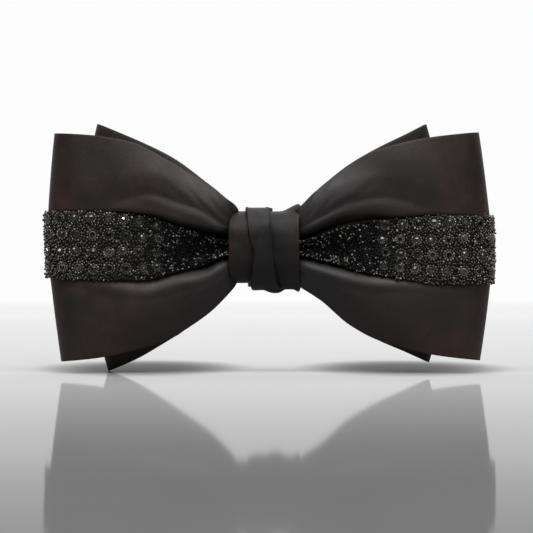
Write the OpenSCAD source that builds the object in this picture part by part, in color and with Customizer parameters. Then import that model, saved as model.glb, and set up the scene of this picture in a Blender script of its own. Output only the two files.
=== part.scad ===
// Pre-tied clip-on bow tie: two stacked leather bows, a beaded trim band, a wrapped knot
// and a sprung two-lever collar clip behind the knot.
// +Z is up and the bow's face looks along -Y. The origin is at the middle of the bottom of the box.

/* [Leather] */
// Thickness of one ply of the bow leather
ply_t = 1.0; // [0.6:0.1:1.2]
// Thickness of the stiff interlining inside each bow
lining_t = 0.8; // [0.4:0.1:0.8]
// Gap between neighbouring layers of the stack
layer_gap = 0.1; // [0.05:0.01:0.15]
// Gap between the front bow and the back bow at the waist
bow_gap = 0.4; // [0.2:0.1:1]
// How far the leather billows forward beside the knot
billow = 5.5; // [1:0.5:7]
// How far the wing ends lean back
lean_back = 1.5; // [0:0.5:3]
// How far each ply of the front bow stands off its middle at the wing ends
front_puff = 3.2; // [0.5:0.1:3.5]
// How far each ply of the back bow stands off its middle at the wing ends
back_puff = 2.2; // [0.5:0.1:2.5]
// How far the round end of the front bow reaches past its straight part
front_round = 5; // [2:0.5:6]
// How far the round end of the back bow reaches past its straight part
back_round = 4; // [2:0.5:5]

/* [Beaded band] */
// Thickness of the backing tape
tape_t = 0.5; // [0.3:0.1:0.7]
// Thickness of the layer of seed beads sewn on the tape
bead_t = 0.8; // [0.5:0.1:1]
// Length of band turned to the back round each wing end
band_return = 1.2; // [0.5:0.1:1.4]
// Outer radius of a rosette's ring of beads
rosette_r = 1.6; // [1.2:0.1:1.8]
// Wire radius of a rosette's ring
ring_r = 0.35; // [0.2:0.05:0.45]
// Radius of the stone in a rosette
stone_r = 0.7; // [0.5:0.1:0.8]
// Distance between rosette columns
rosette_pitch = 4.1; // [3.9:0.1:5]

/* [Knot] */
// Width of the wide leather wrap
wrap_w = 18.3; // [16:0.1:20]
// Distance of the knot's middle to the left of the bow's middle
knot_left = 1.55; // [0:0.05:2]
// Thickness of the wrap and of the strap over it
wrap_t = 1.0; // [0.7:0.1:1.2]
// Width of the narrow strap wound over the wrap and the clip plate
strap_w = 6.6; // [5:0.1:7]
// Thickness of the thread wound round the waist
thread_t = 0.4; // [0.3:0.1:0.5]
// Thickness of the padding under the front of the wrap
padding_t = 3.7; // [2:0.1:5]

/* [Collar clip] */
// Length of the clip's base plate
plate_l = 41; // [36:1:44]
// Height of the clip's base plate
plate_h = 11; // [9:0.5:12]
// Thickness of the clip's sheet steel
steel_t = 0.8; // [0.6:0.1:0.9]
// Distance of each hinge pin from the knot's middle
hinge_out = 8.5; // [8:0.1:9]
// Height of each hinge pin's axis over the base plate
hinge_up = 2.4; // [2.3:0.1:2.6]
// Radius of a hinge pin
pin_r = 0.6; // [0.5:0.05:0.65]
// Running clearance round a hinge pin
pin_clear = 0.05; // [0.02:0.01:0.1]
// Radius of the spring wire
wire_r = 0.25; // [0.2:0.01:0.25]

/* [Hidden] */

LEFT = 0;
RIGHT = 1;
SIGN = [-1, 1];

// Stack at the waist, from front to back. Each bow is a flattened loop: ply, interlining, ply.
half_lining = lining_t / 2;
ply_in = half_lining + layer_gap;
ply_out = ply_in + ply_t;
front_mid = -(ply_out + bow_gap / 2);
back_mid = ply_out + bow_gap / 2;
tape_in = ply_out + layer_gap;
tape_out = tape_in + tape_t;
bead_in = tape_out + layer_gap;
bead_out = bead_in + bead_t;
thread_front = front_mid - tape_out - layer_gap;
thread_back = back_mid + ply_out + layer_gap;
wrap_back_in = thread_back + thread_t + layer_gap;
wrap_back = wrap_back_in + wrap_t;
padding_front = thread_front - thread_t - layer_gap - padding_t;
wrap_front = padding_front - layer_gap - wrap_t;
plate_back = wrap_back + layer_gap + steel_t;
strap_t = wrap_t - 0.05;
strap_front = wrap_front - layer_gap - strap_t;
strap_back = plate_back + layer_gap + strap_t;

// Heights at the knot
knot_mid_z = 33;
waist_h = 16.8;
thread_h = waist_h + 2 * thread_t + 0.3;
wrap_h = 20.1;
clip_z = 32.6;

// The levers' bent strip, seen from above: distance out from the knot's middle, height over the plate
arm_up = 4.35;
tab_end = [2.6, 7.0];
tab_root = [6.5, arm_up];
arm_end = [16.5, arm_up];
jaw_gap = 0.3;
jaw_tip = [19.6, jaw_gap + 0.1];
lever_t = 0.7;
lever_half_h = 4.55;
ear_half_h = lever_half_h + 0.15;
jaw_half_h = 5.4;

// The box is centred front to back
tab_slope = atan2(tab_end[1] - tab_root[1], tab_root[0] - tab_end[0]);
deepest = plate_back + tab_end[1] + lever_t / 2 * cos(tab_slope);
shift_y = -(strap_front + deepest) / 2;
knot_x = -knot_left;

// Outlines of each wing as [distance from the knot's middle, height], first the waist
waist_top = knot_mid_z + waist_h / 2;
waist_bottom = knot_mid_z - waist_h / 2;
flat_to = wrap_w / 2 + 0.25;
front_top = [
    [[0, waist_top], [flat_to, waist_top], [11, 46], [14.5, 49.8], [19.5, 52.3], [24.5, 55.1],
     [29, 57.7], [33.5, 60], [39.5, 61.4], [45, 62.2], [55.3, 62.9]],
    [[0, waist_top], [flat_to, waist_top], [11, 45.6], [14, 48.3], [17.7, 51.2], [22.6, 54.5],
     [27.4, 57.4], [31, 58.7], [37.2, 60.4], [44.5, 61.8], [56.7, 63.2]]];
front_bottom = [
    [[0, waist_bottom], [flat_to, waist_bottom], [11, 19], [14.6, 15.6], [21, 11.3], [23.3, 9.7],
     [29.4, 7.4], [43, 4.1], [53.5, 2.9]],
    [[0, waist_bottom], [flat_to, waist_bottom], [11, 20.8], [14.8, 19.2], [22.6, 12.7],
     [30.4, 8.6], [44.5, 4.8], [57, 3.2]]];
back_top = [
    [[0, waist_top], [flat_to, waist_top], [11, 46.3], [14.6, 50.3], [24, 56.6], [31.8, 60.5],
     [38.4, 63.2], [44, 65.4]],
    [[0, waist_top], [flat_to, waist_top], [11, 45.8], [13.8, 48.4], [17.7, 51.4], [22.6, 54.8],
     [30.4, 59.5], [37.3, 62.9], [42.9, 65.8]]];
back_bottom = [
    [[0, waist_bottom], [flat_to, waist_bottom], [11, 18.8], [14.6, 15.4], [21, 11.1],
     [26, 7.9], [33.7, 3.4], [41.2, 0]],
    [[0, waist_bottom], [flat_to, waist_bottom], [11, 20.6], [14.8, 19.1], [22.6, 12.5],
     [30.4, 8.4], [37.3, 5.3], [43.7, 2.4]]];
band_top = [
    [[0, 34.6], [9.3, 34.6], [15.4, 36.2], [22.3, 38.1], [31.3, 41], [43.2, 42.1], [58, 42.3]],
    [[0, 34.6], [9.3, 34.6], [13.2, 35.5], [19.6, 37.7], [27.5, 39.4], [37.3, 40.4],
     [47, 41.2], [60, 41]]];
band_bottom = [
    [[0, 31], [9.3, 31], [15.4, 28.7], [22.3, 27.2], [31.3, 24.8], [43.2, 24.4], [58, 25.2]],
    [[0, 31], [9.3, 31], [13.2, 30.1], [19.6, 28.3], [27.5, 26.2], [37.3, 24.6],
     [47, 23.3], [60, 23.6]]];

// Reach of each wing end from the knot's middle: [bottom corner, top corner, bulge between them]
front_reach = [[53.5, 55.3, 2.5], [57, 56.7, 3.1]];
back_reach = [[41.2, 44, 6], [43.7, 42.9, 6.5]];

// Places of the grid along a wing, as shares of its reach, and across each part of its height
stations = [0, 0.165, 0.195, 0.235, 0.29, 0.36, 0.45, 0.55, 0.66, 0.78, 0.89, 1];
edge_shares = [0, 0.14, 0.3, 0.5, 0.75, 1];
end_turns = [30, 60, 90, 120, 150];

function ease(v) = let (c = min(max(v, 0), 1)) c * c * (3 - 2 * c);
function reach(ends, t) = ends[0] + (ends[1] - ends[0]) * t + 4 * ends[2] * t * (1 - t);

// How far the layers lie forward of a flat bow, at a distance out from the knot and a height
function swell(d) = billow * ease((d - 9.4) / 4) * (0.1 + 0.9 * exp(-pow(max(d - 13, 0) / 20, 2)));
function half_height(d) = lookup(d, [[0, 9], [flat_to, 9], [11, 13], [20, 21], [32, 27], [60, 31]]);
function profile(v) = ease(v / 0.4) * (1 - 0.8 * ease((v - 0.4) / 0.6));
function forward(side, d, z) =
    let (b0 = lookup(d, band_bottom[side]), b1 = lookup(d, band_top[side]))
    let (past_band = max(z - b1, b0 - z, 0))
    swell(d) * profile(past_band / (half_height(d) - (b1 - b0) / 2)) - lean_back * pow(d / 58, 2);

// A layer: which outlines it follows, where its middle lies, and its rows across the height
function top_of(layer, side) = layer == "front" ? front_top[side] : back_top[side];
function bottom_of(layer, side) = layer == "front" ? front_bottom[side] : back_bottom[side];
function reach_of(layer, side) = layer == "front" ? front_reach[side] : back_reach[side];
function round_of(layer) = layer == "front" ? front_round : back_round;
function puff_of(layer, d) = (layer == "front" ? front_puff : back_puff) * ease((d - 13) / 34);
function mid_of(layer, d) = layer == "front" ? front_mid
    : back_mid + 0.3 * ease((d - 12) / 10) + puff_of("front", d) + puff_of("back", d);

band_rows = 2;
function row_count() = 2 * (len(edge_shares) - 1) + band_rows + 1;
function row_z(layer, side, d, j) =
    let (n = len(edge_shares) - 1)
    let (lo = lookup(d, bottom_of(layer, side)), hi = lookup(d, top_of(layer, side)))
    let (b0 = lookup(d, band_bottom[side]), b1 = lookup(d, band_top[side]))
    j < n ? b0 + (lo - b0) * edge_shares[n - j]
    : j <= n + band_rows ? b0 + (b1 - b0) * (j - n) / band_rows
    : b1 + (hi - b1) * edge_shares[j - n - band_rows];

// A station is [side, share of the straight part, turn round the wing end]: turn 0 is the front
// ply and 180 is the back ply. Its point at a row lies off from the middle of that ply's stack.
function straight(layer, side, t) = reach(reach_of(layer, side), t) - round_of(layer) - ply_out;
function layer_point(layer, station, j, off) =
    let (side = station[0], share = station[1], turn = station[2])
    let (t = (j / (row_count() - 1)))
    let (even = straight(layer, side, 0.5), full = straight(layer, side, t))
    let (run = share * (even + (full - even) * share * share))
    let (d = run + (round_of(layer) + off) * sin(turn))
    let (z = row_z(layer, side, d, j))
    [knot_x + SIGN[side] * d,
     mid_of(layer, run) - forward(side, d, z) - (off + puff_of(layer, run)) * cos(turn), z];

// Stations of the front ply from left to right, of the wing ends, and of the back ply
front_run = concat([for (i = [len(stations) - 1:-1:1]) [LEFT, stations[i], 0]],
                   [for (s = stations) [RIGHT, s, 0]]);
right_end = [for (a = end_turns) [RIGHT, 1, a]];
left_end = [for (i = [len(end_turns) - 1:-1:0]) [LEFT, 1, end_turns[i]]];
back_run = concat([for (i = [len(stations) - 1:-1:0]) [RIGHT, stations[i], 180]],
                  [for (i = [1:len(stations) - 1]) [LEFT, stations[i], 180]]);

// Two triangles of a cell; the back ply runs the other way, so its cells are cut along the other
// diagonal and its facets stay parallel to the interlining's
function cell(a, b, c, d, other) = other ? [[a, b, d], [b, c, d]] : [[a, b, c], [a, c, d]];

// A sheet between two offsets over the stations and rows, closed round when it is a loop
module sheet(layer, run, rows, near, far, looped) {
    n = len(run);
    m = len(rows);
    spans = looped ? n : n - 1;
    points = [for (off = [near, far], s = run, j = rows) layer_point(layer, s, j, off)];
    function at(k, i, j) = (k * n + i % n) * m + j;
    function behind(i) = run[i][2] > 90;
    outer = [for (i = [0:spans - 1], j = [0:m - 2])
        each cell(at(1, i, j), at(1, i, j + 1), at(1, i + 1, j + 1), at(1, i + 1, j), behind(i))];
    inner = [for (i = [0:spans - 1], j = [0:m - 2])
        each cell(at(0, i, j), at(0, i + 1, j), at(0, i + 1, j + 1), at(0, i, j + 1), behind(i))];
    rims = [for (i = [0:spans - 1])
        each [[at(0, i, 0), at(1, i, 0), at(1, i + 1, 0)],
              [at(0, i, 0), at(1, i + 1, 0), at(0, i + 1, 0)],
              [at(0, i, m - 1), at(1, i + 1, m - 1), at(1, i, m - 1)],
              [at(0, i, m - 1), at(0, i + 1, m - 1), at(1, i + 1, m - 1)]]];
    ends = looped ? [] : [for (j = [0:m - 2])
        each [[at(0, 0, j), at(0, 0, j + 1), at(1, 0, j + 1)],
              [at(0, 0, j), at(1, 0, j + 1), at(1, 0, j)],
              [at(0, n - 1, j), at(1, n - 1, j + 1), at(0, n - 1, j + 1)],
              [at(0, n - 1, j), at(1, n - 1, j), at(1, n - 1, j + 1)]]];
    translate([0, shift_y, 0]) polyhedron(concat(points), concat(outer, inner, rims, ends));
}

all_rows = [for (j = [0:row_count() - 1]) j];
tape_rows = [for (j = [0:band_rows]) len(edge_shares) - 1 + j];

// One leather strip folded into a flattened loop and joined end to end behind the waist
module bow_loop(layer) {
    loop = concat(front_run, right_end, back_run, left_end);
    sheet(layer, loop, all_rows, ply_in, ply_out, true);
}

module bow_lining(layer) {
    inset = [for (s = front_run) if (s[1] < 1) s];
    sheet(layer, inset, all_rows, -half_lining, half_lining, false);
}

module front_bow() {
    color("#2a2523") bow_loop("front");
}

module back_bow() {
    color("#2e2927") bow_loop("back");
}

module front_interlining() {
    color("#d8d2c4") bow_lining("front");
}

module back_interlining() {
    color("#d8d2c4") bow_lining("back");
}

// Share of the reach at which the turned-back band ends behind a wing
return_share = 1 - band_return / straight("front", RIGHT, 0.5);

module trim_tape() {
    run = concat([[LEFT, return_share, 180], [LEFT, 1, 180]], left_end, front_run, right_end,
                 [[RIGHT, 1, 180], [RIGHT, return_share, 180]]);
    color("#141414") sheet("front", run, tape_rows, tape_in, tape_out, false);
}

// The sewn-on beads start just outside the knot and run round the wing end
module seed_beads(side) {
    out = [for (i = [2:len(stations) - 1]) [side, stations[i], 0]];
    nose = [for (a = end_turns) [side, 1, a]];
    tail = [[side, 1, 180], [side, return_share, 180]];
    run = concat(out, nose, tail);
    back = [for (i = [len(run) - 1:-1:0]) run[i]];
    color("#3a3836")
        sheet("front", side == RIGHT ? run : back, tape_rows, bead_in, bead_out, false);
}

// Rosettes stand on the beads in rows across the band, in columns from the wing end inwards:
// the first columns lie on the round end, each a turn from the front, and the rest on the front
rosette_rows = 4;
rosette_columns = 8;
round_columns = [50, 19];
function front_y(side, d, z) = front_mid - puff_of("front", d) - forward(side, d, z);
module on_band(side) {
    for (column = [0:rosette_columns - 1], row = [0:rosette_rows - 1]) {
        on_round = column < len(round_columns);
        turn = on_round ? round_columns[column] : 0;
        end = straight("front", side, 0.5);
        run = on_round ? end : end - 0.9 - (column - len(round_columns)) * rosette_pitch;
        lift = bead_out + 0.15;
        d = run + (front_round + lift) * sin(turn);
        b0 = lookup(d, band_bottom[side]);
        b1 = lookup(d, band_top[side]);
        z = b0 + (b1 - b0) * (row + 0.5) / rosette_rows;
        y = front_mid - forward(side, d, z) - (puff_of("front", run) + lift) * cos(turn);
        slope = on_round ? atan2(sin(turn) / (front_round + lift), cos(turn) / (front_puff + lift))
            : atan(front_y(side, d + 0.5, z) - front_y(side, d - 0.5, z));
        translate([knot_x + SIGN[side] * d, shift_y + y, z])
            rotate([90, 0, SIGN[side] * slope]) children();
    }
}

module rosette_ring() {
    rotate_extrude($fn = 48) translate([rosette_r - ring_r, ring_r]) circle(ring_r, $fn = 24);
}

module rosette_stone() {
    cylinder(h = 0.5, r = stone_r, $fn = 32);
    translate([0, 0, 0.5]) cylinder(h = 0.3, r1 = stone_r, r2 = stone_r * 0.6, $fn = 32);
}

module rosette_rings(side) {
    color("#4a4744") on_band(side) rosette_ring();
}

module rosette_stones(side) {
    color("#1c1c20") on_band(side) rosette_stone();
}

// Closed outline across the knot, drawn in [y, z], with its own corner radii front and back
function corner(cy, cz, r, from) = [for (a = [from:15:from + 90]) [cy + r * cos(a), cz + r * sin(a)]];
function knot_outline(y0, y1, half_h, r_front, r_back) = concat(
    corner(y1 - r_back, knot_mid_z + half_h - r_back, r_back, 0),
    corner(y0 + r_front, knot_mid_z + half_h - r_front, r_front, 90),
    corner(y0 + r_front, knot_mid_z - half_h + r_front, r_front, 180),
    corner(y1 - r_back, knot_mid_z - half_h + r_back, r_back, 270));

module knot_slab(x0, w, outline) {
    translate([knot_x + x0, shift_y, 0]) rotate([90, 0, 90]) linear_extrude(w) polygon(outline);
}

module knot_ring(x0, w, t, y0, y1, half_h, r_front, r_back) {
    difference() {
        knot_slab(x0, w, knot_outline(y0, y1, half_h, r_front, r_back));
        knot_slab(x0 - 1, w + 2,
                  knot_outline(y0 + t, y1 - t, half_h - t, r_front - t, r_back - t));
    }
}

// Turns of waxed thread that pinch both bows together
module waist_thread() {
    turns = 8;
    step = 1.8;
    for (i = [0:turns - 1])
        color("#1b1b1b")
            knot_ring((i - (turns - 1) / 2) * step - thread_t / 2, thread_t, thread_t,
                      thread_front - thread_t, thread_back + thread_t, thread_h / 2, 0.6, 0.6);
}

module knot_padding() {
    y1 = thread_front - thread_t - layer_gap;
    color("#c9c4b8") knot_slab(-wrap_w / 2 + 1.5, wrap_w - 3,
                               knot_outline(padding_front, y1, 8.4, 3, 0.5));
}

module knot_wrap() {
    color("#2c2725") knot_ring(-wrap_w / 2, wrap_w, wrap_t, wrap_front, wrap_back, wrap_h / 2, 4, 1.6);
}

// The strap goes round the wrap and over the middle of the clip's plate, and holds both
module knot_strap() {
    color("#332e2b") knot_ring(-4.3, strap_w, strap_t, strap_front, strap_back,
                               wrap_h / 2 + strap_t + layer_gap, 5, 2.6);
}

// Hand stitches that close the strap's lap behind the plate
module strap_stitches() {
    count = 5;
    for (i = [0:count - 1])
        color("#161616")
            translate([knot_x - 1.9, shift_y + strap_back + 0.22, clip_z - 3 + i * 1.5])
                rotate([0, 90, 0]) cylinder(h = 1.8, r = 0.2, $fn = 24);
}

// Everything on one side of the clip is drawn for the right and mirrored for the left.
// x is the distance out from the knot's middle, y the height over the plate, z up from its middle.
module clip_side(side) {
    translate([knot_x, shift_y + plate_back, clip_z]) mirror([1 - side, 0, 0]) children();
}

module ear_plate(z0, hole) {
    translate([0, 0, z0]) linear_extrude(steel_t) difference() {
        union() {
            translate([hinge_out - 1.5, -0.1]) square([3, hinge_up + 0.1]);
            translate([hinge_out, hinge_up]) circle(1.5, $fn = 48);
        }
        translate([hinge_out, hinge_up]) circle(hole, $fn = 48);
    }
}

module clip_plate() {
    color("#9a9da0") {
        translate([knot_x - plate_l / 2, shift_y + plate_back - steel_t, clip_z - plate_h / 2])
            cube([plate_l, steel_t, plate_h]);
        for (side = [LEFT, RIGHT]) clip_side(side) {
            ear_plate(ear_half_h, pin_r + pin_clear);
            ear_plate(-ear_half_h - steel_t, pin_r + pin_clear);
        }
    }
}

module hinge_pin(side) {
    reach_z = ear_half_h + steel_t + 0.05;
    color("#b4b7ba") clip_side(side) translate([hinge_out, hinge_up, 0]) {
        translate([0, 0, -reach_z]) cylinder(h = 2 * reach_z, r = pin_r, $fn = 48);
        translate([0, 0, reach_z]) cylinder(h = 0.4, r = 1, $fn = 48);
        translate([0, 0, -reach_z - 0.4]) cylinder(h = 0.4, r = 1, $fn = 48);
    }
}

module wire(from, to) {
    along = to - from;
    translate(from) rotate([0, acos(along[2] / norm(along)), atan2(along[1], along[0])])
        cylinder(h = norm(along), r = wire_r, $fn = 24);
}

// A torsion spring round the pin: close turns, one leg on the plate, one under the thumb tab
module spring(side) {
    coil_r = pin_r + 0.2 + wire_r;
    coil_half = 3.1;
    leg_z = coil_half - wire_r - 0.05;
    bend = [tab_root[0] - 0.1, hinge_up + coil_r, leg_z];
    color("#a7a9ac") clip_side(side) {
        translate([hinge_out, hinge_up, -coil_half]) difference() {
            cylinder(h = 2 * coil_half, r = coil_r + wire_r, $fn = 48);
            translate([0, 0, -1]) cylinder(h = 2 * coil_half + 2, r = coil_r - wire_r, $fn = 48);
        }
        wire([hinge_out, hinge_up - coil_r, -leg_z], [hinge_out + 4, wire_r + 0.1, -leg_z]);
        wire([hinge_out, hinge_up + coil_r, leg_z], bend);
        translate(bend) sphere(wire_r * 1.1, $fn = 24);
        wire(bend, [tab_root[0] - 1.9, arm_up + 0.2, leg_z]);
    }
}

// A bent strip of even thickness along a path drawn from above
function side_step(p, q, r) =
    let (a = (q - p) / norm(q - p), b = (r - q) / norm(r - q), m = (a + b) / norm(a + b))
    [-m[1], m[0]] / (m * a);
function strip(path, t) = let (n = len(path)) concat(
    [for (i = [0:n - 1]) path[i] + t / 2 * offset_at(path, i)],
    [for (i = [n - 1:-1:0]) path[i] - t / 2 * offset_at(path, i)]);
function offset_at(path, i) = let (n = len(path))
    i == 0 ? side_step(2 * path[0] - path[1], path[0], path[1])
    : i == n - 1 ? side_step(path[n - 2], path[n - 1], 2 * path[n - 1] - path[n - 2])
    : side_step(path[i - 1], path[i], path[i + 1]);

module lever(side) {
    teeth = 5;
    tooth = 2 * jaw_half_h / (2 * teeth - 1);
    mid_arm = [hinge_out + 3, arm_up];
    tip_up = jaw_tip + [-0.1, 0.9];
    color("#a2a5a8") clip_side(side) {
        // Thumb tab and the arm between the ears
        translate([0, 0, -lever_half_h]) linear_extrude(2 * lever_half_h)
            polygon(strip([tab_end, tab_root, mid_arm + [0.5, 0]], lever_t));
        // Jaw arm, wider than the ears, bent down to the plate
        difference() {
            translate([0, 0, -jaw_half_h]) linear_extrude(2 * jaw_half_h)
                polygon(strip([mid_arm, arm_end, jaw_tip], lever_t));
            for (i = [0:teeth - 2])
                translate([jaw_tip[0] - 1.5, -0.5, -jaw_half_h + (2 * i + 1) * tooth])
                    cube([3, 1.6, tooth]);
        }
        for (z0 = [lever_half_h - steel_t, -lever_half_h]) translate([0, 0, z0])
            linear_extrude(steel_t) difference() {
                union() {
                    translate([hinge_out - 1.5, hinge_up]) square([3, arm_up - hinge_up]);
                    translate([hinge_out, hinge_up]) circle(1.5, $fn = 48);
                }
                translate([hinge_out, hinge_up]) circle(pin_r + pin_clear, $fn = 48);
            }
    }
}

front_bow();
front_interlining();
back_bow();
back_interlining();
trim_tape();
seed_beads(LEFT);  // seed_beads_left
seed_beads(RIGHT);  // seed_beads_right
rosette_rings(LEFT);  // rosette_rings_left
rosette_rings(RIGHT);  // rosette_rings_right
rosette_stones(LEFT);  // rosette_stones_left
rosette_stones(RIGHT);  // rosette_stones_right
waist_thread();
knot_padding();
knot_wrap();
knot_strap();
strap_stitches();
clip_plate();
hinge_pin(LEFT);  // hinge_pin_left
hinge_pin(RIGHT);  // hinge_pin_right
spring(LEFT);  // spring_left
spring(RIGHT);  // spring_right
lever(LEFT);  // lever_left
lever(RIGHT);  // lever_right
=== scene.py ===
"""A pre-tied clip-on bow tie: stitched leather bows, a beaded band, a wrapped knot and a collar clip."""
import math

import bmesh
import bpy
import numpy as np
from mathutils import Matrix, Vector


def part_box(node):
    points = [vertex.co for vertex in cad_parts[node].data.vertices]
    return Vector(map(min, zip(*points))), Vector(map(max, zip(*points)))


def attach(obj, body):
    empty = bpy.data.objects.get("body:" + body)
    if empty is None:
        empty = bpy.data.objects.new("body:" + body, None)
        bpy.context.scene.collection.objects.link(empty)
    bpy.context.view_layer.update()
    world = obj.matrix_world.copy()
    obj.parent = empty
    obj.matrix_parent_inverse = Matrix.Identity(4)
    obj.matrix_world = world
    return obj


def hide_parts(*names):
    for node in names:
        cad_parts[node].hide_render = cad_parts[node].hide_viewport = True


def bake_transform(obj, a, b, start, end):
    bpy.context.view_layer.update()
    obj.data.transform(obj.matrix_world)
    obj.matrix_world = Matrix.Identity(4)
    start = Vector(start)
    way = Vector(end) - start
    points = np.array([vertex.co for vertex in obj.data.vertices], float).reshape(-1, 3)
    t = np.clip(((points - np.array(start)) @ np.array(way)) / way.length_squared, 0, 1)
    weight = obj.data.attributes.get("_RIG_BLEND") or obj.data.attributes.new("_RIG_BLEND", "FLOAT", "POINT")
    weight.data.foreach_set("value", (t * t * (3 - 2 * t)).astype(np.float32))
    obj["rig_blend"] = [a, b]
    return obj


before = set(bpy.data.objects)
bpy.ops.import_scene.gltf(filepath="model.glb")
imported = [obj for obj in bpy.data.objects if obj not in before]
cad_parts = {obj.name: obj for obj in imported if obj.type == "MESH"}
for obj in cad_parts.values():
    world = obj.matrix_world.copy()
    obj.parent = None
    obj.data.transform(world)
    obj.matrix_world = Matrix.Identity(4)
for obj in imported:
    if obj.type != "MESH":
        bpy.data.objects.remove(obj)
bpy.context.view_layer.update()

scene = bpy.context.scene
MM = 0.001
LEFT = -1
RIGHT = 1


def box_mm(node):
    return [np.array(corner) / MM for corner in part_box(node)]


# Measures in millimetres from the frame
wrap_low, wrap_high = box_mm("knot_wrap")
strap_low, strap_high = box_mm("knot_strap")
plate_low, plate_high = box_mm("clip_plate")
KNOT_X, _, KNOT_Z = (wrap_low + wrap_high) / 2
WRAP_HALF_W = (wrap_high[0] - wrap_low[0]) / 2
WRAP_FRONT, WRAP_BACK = wrap_low[1], wrap_high[1]
STRAP_FRONT, STRAP_BACK = strap_low[1], strap_high[1]
PLATE_T = 0.8
PLATE_BACK = plate_low[1] + PLATE_T
CLIP_Z = (plate_low[2] + plate_high[2]) / 2
# The plane between the two bows, from which each layer of the stack is measured
KNOT_FRONT_DEPTH = 9.2
SHIFT_Y = WRAP_FRONT + KNOT_FRONT_DEPTH

# The stack: the middle of each folded bow, and how far off it the ply, tape and bead seats lie
PLY = 0.95
PLY_MID = 1.0
FRONT_MID = -1.7
BACK_MID = 1.7
TAPE_T = 0.45
TAPE_MID = 1.85
BEAD_SEAT = 2.1
LINING_T = 0.5
# How far a bow's round end reaches past its straight part, and how far its plies part there
ROUND = {"front": 5.0, "back": 4.0}
PUFF = {"front": 3.2, "back": 2.2}
# The band's part of a ply's height, as shares from the bottom edge
BAND_SHARE = (0.36, 0.65)
BAND_RETURN = 1.2


def ease(v):
    c = np.clip(v, 0.0, 1.0)
    return c * c * (3 - 2 * c)


def line(points):
    """A smooth curve through given points that never overshoots them, flat past its ends."""
    px, py = np.array(points, float).T
    step = np.diff(px)
    slope = np.diff(py) / step
    turn = np.zeros_like(px)
    same = slope[1:] * slope[:-1] > 0
    turn[1:-1][same] = 2 * slope[1:][same] * slope[:-1][same] / (slope[1:][same] + slope[:-1][same])
    turn[0] = slope[0]
    turn[-1] = slope[-1]

    def at(x):
        x = np.asarray(x, float)
        i = np.clip(np.searchsorted(px, x) - 1, 0, len(step) - 1)
        h = step[i]
        t = np.clip((x - px[i]) / h, 0.0, 1.0)
        t2 = t * t
        t3 = t2 * t
        return ((2 * t3 - 3 * t2 + 1) * py[i] + (t3 - 2 * t2 + t) * h * turn[i]
                + (3 * t2 - 2 * t3) * py[i + 1] + (t3 - t2) * h * turn[i + 1])
    return at


def wobble(seed, wavelength, count=7):
    """A smooth, repeatable unevenness of about -1 to 1 over two measures."""
    rng = np.random.default_rng(seed)
    angle = rng.uniform(0, math.tau, count)
    pace = math.tau / wavelength * rng.uniform(0.6, 1.6, count)
    phase = rng.uniform(0, math.tau, count)

    def at(a, b):
        waves = [np.sin(p * (math.cos(way) * a + math.sin(way) * b) + start)
                 for p, way, start in zip(pace, angle, phase)]
        return sum(waves) / math.sqrt(count)
    return at


# Outlines of each wing: [distance from the knot's middle, height]
FRONT_TOP = {
    LEFT: line([[0, 40.6], [6, 40.6], [7.4, 43.4], [9.9, 45.5], [12.2, 47.4], [14.6, 49], [19.5, 52.1],
                [24.5, 55.1], [29, 57.7], [33.5, 60], [39.5, 61.4], [45, 62.2], [55.3, 62.9]]),
    RIGHT: line([[0, 40.6], [6, 40.6], [8, 42.3], [10.2, 44], [13.7, 47.4], [16.1, 49.3], [20.2, 52.5],
                 [22.6, 54.3], [27.4, 57.4], [31, 58.7], [37.2, 60.4], [44.5, 61.8], [56.7, 63.2]])}
FRONT_BOTTOM = {
    LEFT: line([[0, 25.4], [6.2, 25.4], [8.2, 22.3], [12.2, 18.2], [14.6, 16], [21, 11.4], [23.3, 9.8],
                [29.4, 7.4], [43, 4.1], [53.5, 2.9]]),
    RIGHT: line([[0, 25.4], [7, 25.4], [9.9, 22.5], [12.5, 20.9], [14.8, 19.4], [17.4, 17.4], [22.6, 12.8],
                 [30.4, 8.6], [44.5, 4.8], [57, 3.2]])}
BACK_TOP = {
    LEFT: line([[0, 40.6], [6, 40.6], [7.4, 43.4], [9.9, 45.7], [12.2, 47.7], [14.6, 49.6], [24, 56.6],
                [31.8, 60.6], [38.4, 63.5], [44.6, 66.1]]),
    RIGHT: line([[0, 40.6], [6, 40.6], [8, 42.3], [10.2, 44.1], [13.7, 47.7], [16.1, 49.8], [22.6, 54.9],
                 [30.4, 59.5], [37.3, 62.9], [42.9, 65.8]])}
BACK_BOTTOM = {
    LEFT: line([[0, 25.4], [6.2, 25.4], [8.2, 22.2], [12.2, 17.8], [14.6, 15.6], [21, 11.1], [26, 7.9],
                [33.7, 3.4], [41.2, 0.1]]),
    RIGHT: line([[0, 25.4], [7, 25.4], [9.9, 22.4], [12.5, 20.7], [14.8, 19.2], [22.6, 12.5], [30.4, 8.3],
                 [37.3, 5.3], [43.7, 2.4]])}
OUTLINE = {"front": (FRONT_BOTTOM, FRONT_TOP), "back": (BACK_BOTTOM, BACK_TOP)}
BAND_TOP = {
    LEFT: line([[0, 34.6], [9.3, 34.6], [15.4, 36.2], [22.3, 38.1], [31.3, 41], [43.2, 42.1], [58, 42.3]]),
    RIGHT: line([[0, 34.6], [9.3, 34.6], [13.2, 35.5], [19.6, 37.7], [27.5, 39.4], [37.3, 40.4],
                 [47, 41.2], [60, 41]])}
BAND_BOTTOM = {
    LEFT: line([[0, 31], [9.3, 31], [15.4, 28.7], [22.3, 27.2], [31.3, 24.8], [43.2, 24.4], [58, 25.2]]),
    RIGHT: line([[0, 31], [9.3, 31], [13.2, 30.1], [19.6, 28.3], [27.5, 26.2], [37.3, 24.6],
                 [47, 23.3], [60, 23.6]])}
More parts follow.
